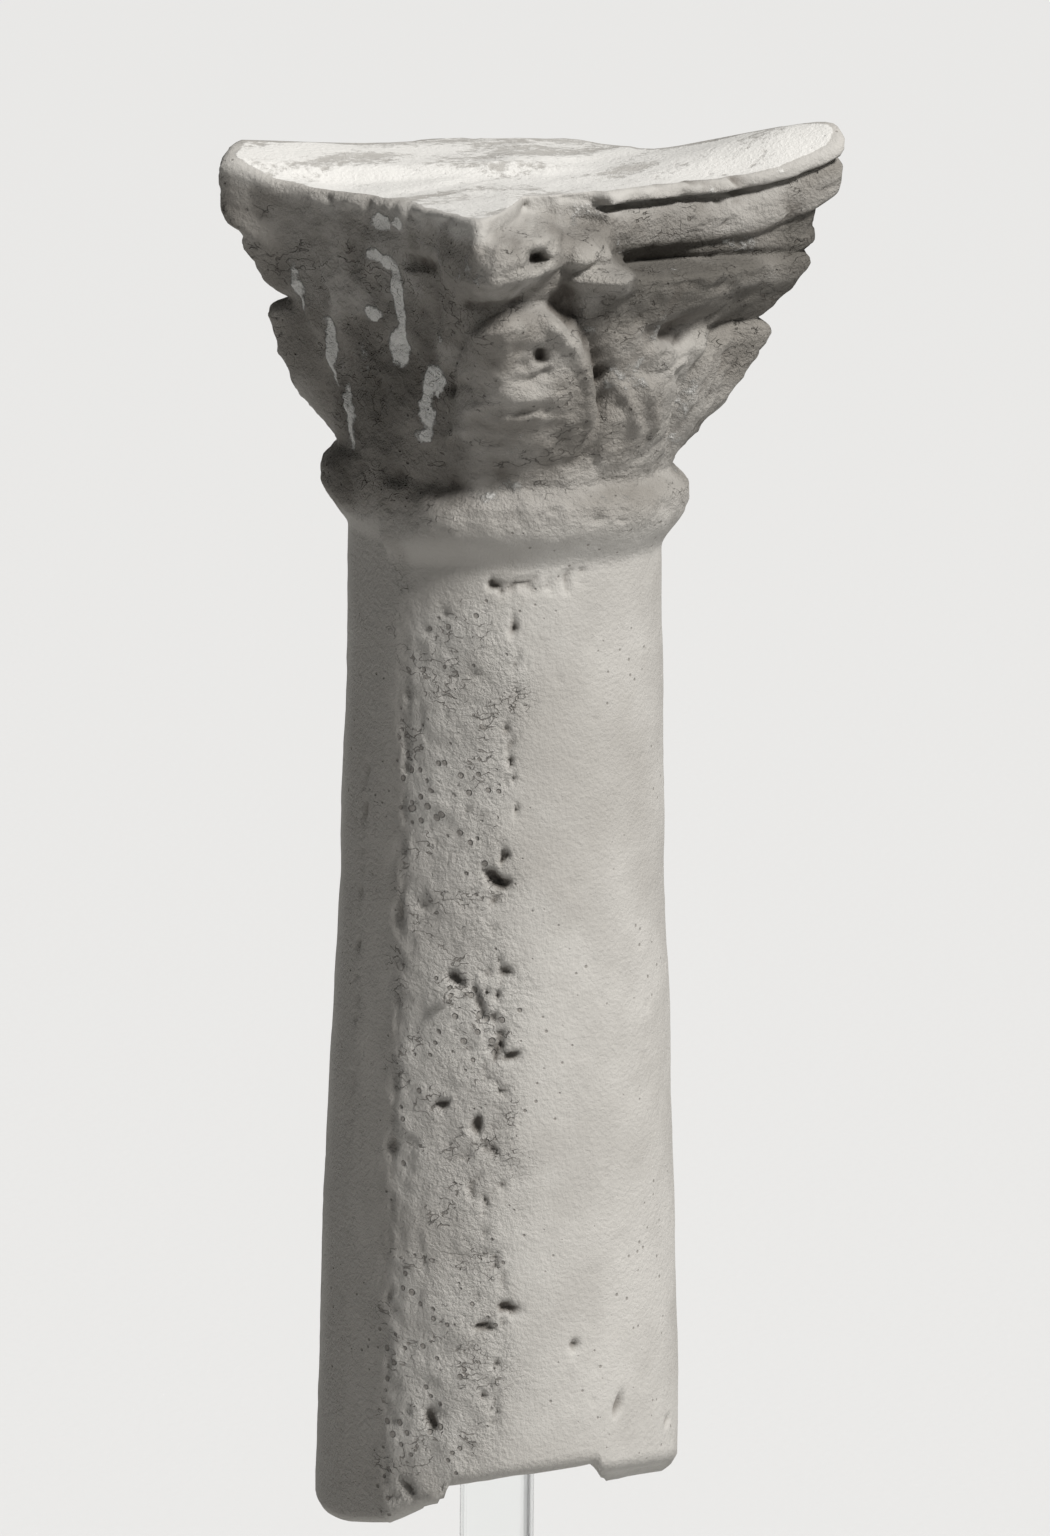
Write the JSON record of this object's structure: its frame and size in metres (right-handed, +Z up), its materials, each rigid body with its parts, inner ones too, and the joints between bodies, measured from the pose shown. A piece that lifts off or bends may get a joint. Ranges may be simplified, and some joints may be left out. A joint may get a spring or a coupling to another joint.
{
  "type": "small clay column on a display rod",
  "caption": "Hand-size tapering clay column with a ring, a worn leaf capital and a hollow-sided square top, held up by a clear rod on a square foot.",
  "frame": {"origin": "centre of the foot's underside, on the column's axis", "axes": "+Z up along the axis, -Y to the front mould's side, +X to the right-hand seam"},
  "size_m": [0.056, 0.056, 0.1971],
  "materials": {
    "clay": "matt, rough fired clay, pitted and finely cracked",
    "clear_rod": "clear acrylic, polished, a little scuffed",
    "clear_foot": "clear acrylic, polished, edges eased"
  },
  "bodies": {
    "root": {"column": "clay", "display_rod": "clear_rod", "display_foot": "clear_foot"}
  },
  "joints": []
}
